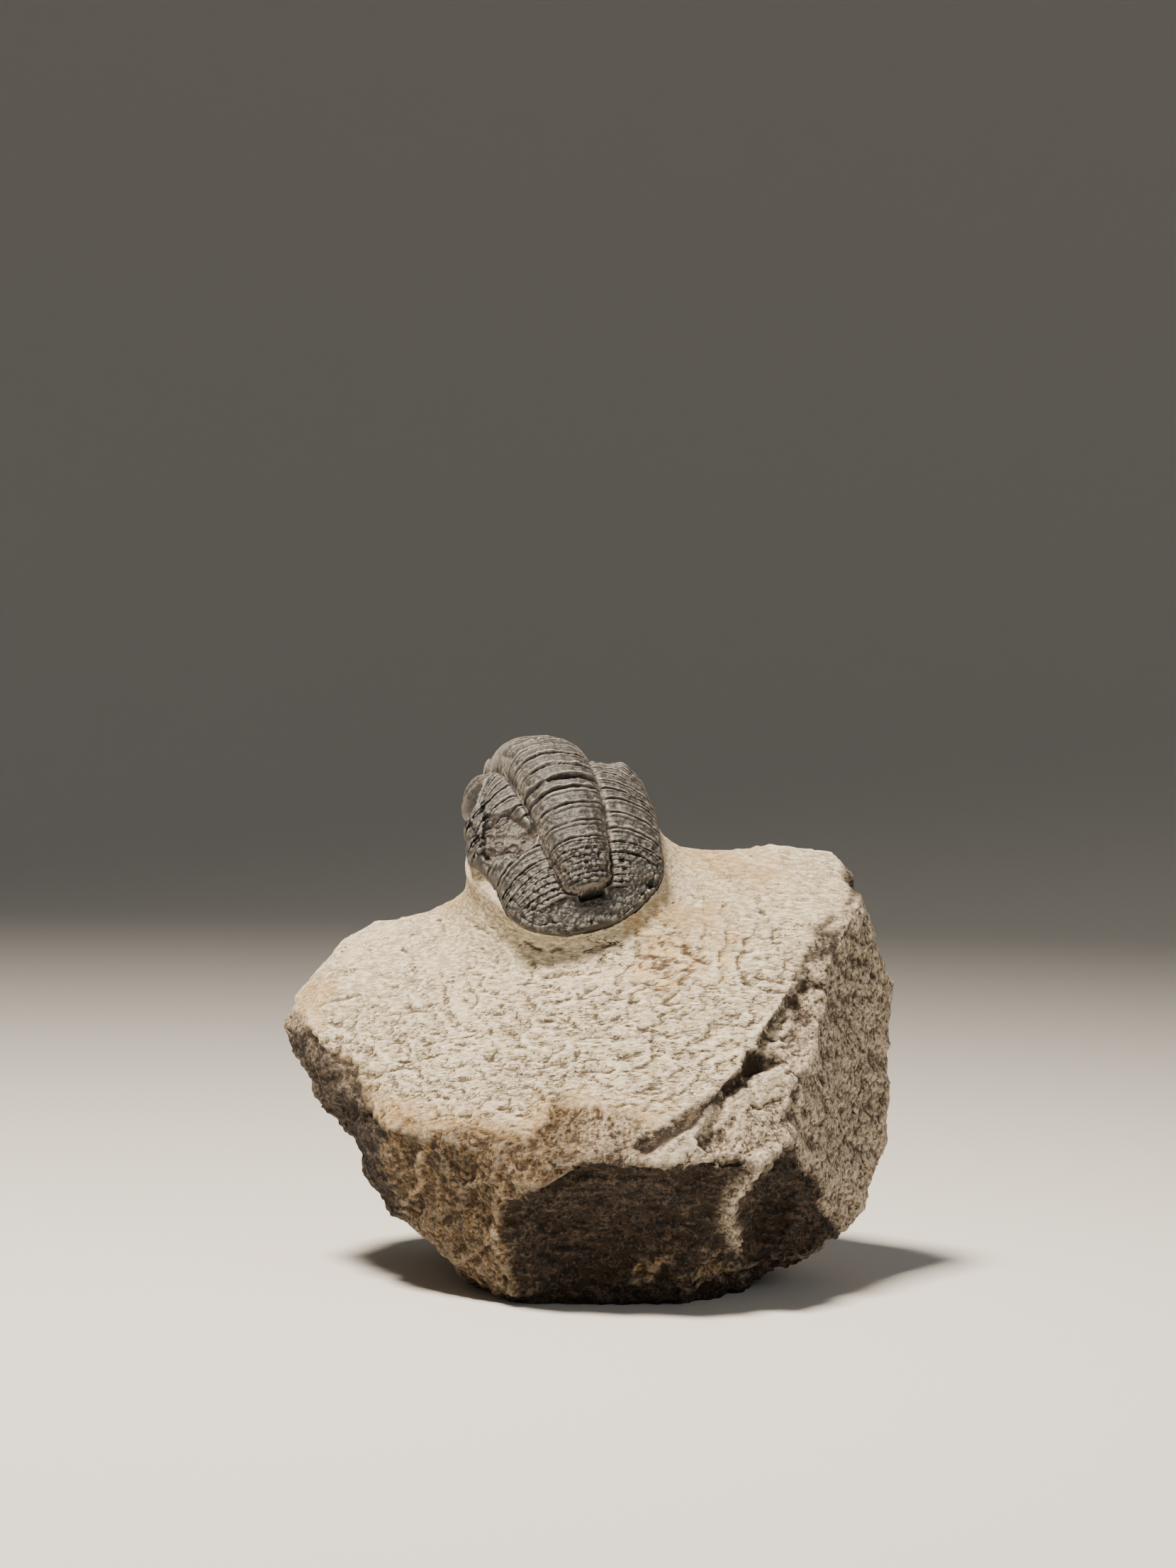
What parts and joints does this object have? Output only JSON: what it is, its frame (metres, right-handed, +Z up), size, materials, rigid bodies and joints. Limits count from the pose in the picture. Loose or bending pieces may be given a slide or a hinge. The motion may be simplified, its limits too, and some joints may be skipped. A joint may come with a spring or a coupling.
{
  "type": "trilobite fossil",
  "caption": "Arched, ringed trilobite seated on the peak of a broken wedge of pale limestone matrix, which stands on its own flat underside",
  "frame": {"origin": "on the flat rest face under the rock, below the middle of the block", "axes": "+Z up, +X to the right as the dressed slope is faced, +Y away from the viewer"},
  "size_m": [0.08, 0.0659, 0.0715],
  "materials": {
    "fossil_shell": "dark grey to black calcite, dull, with fine paler tool scratches",
    "limestone": "pale warm-grey dressed limestone in front with iron stains; rough grey-brown broken faces elsewhere"
  },
  "bodies": {
    "root": {"trilobite": "fossil_shell", "matrix_rock": "limestone"}
  },
  "joints": []
}
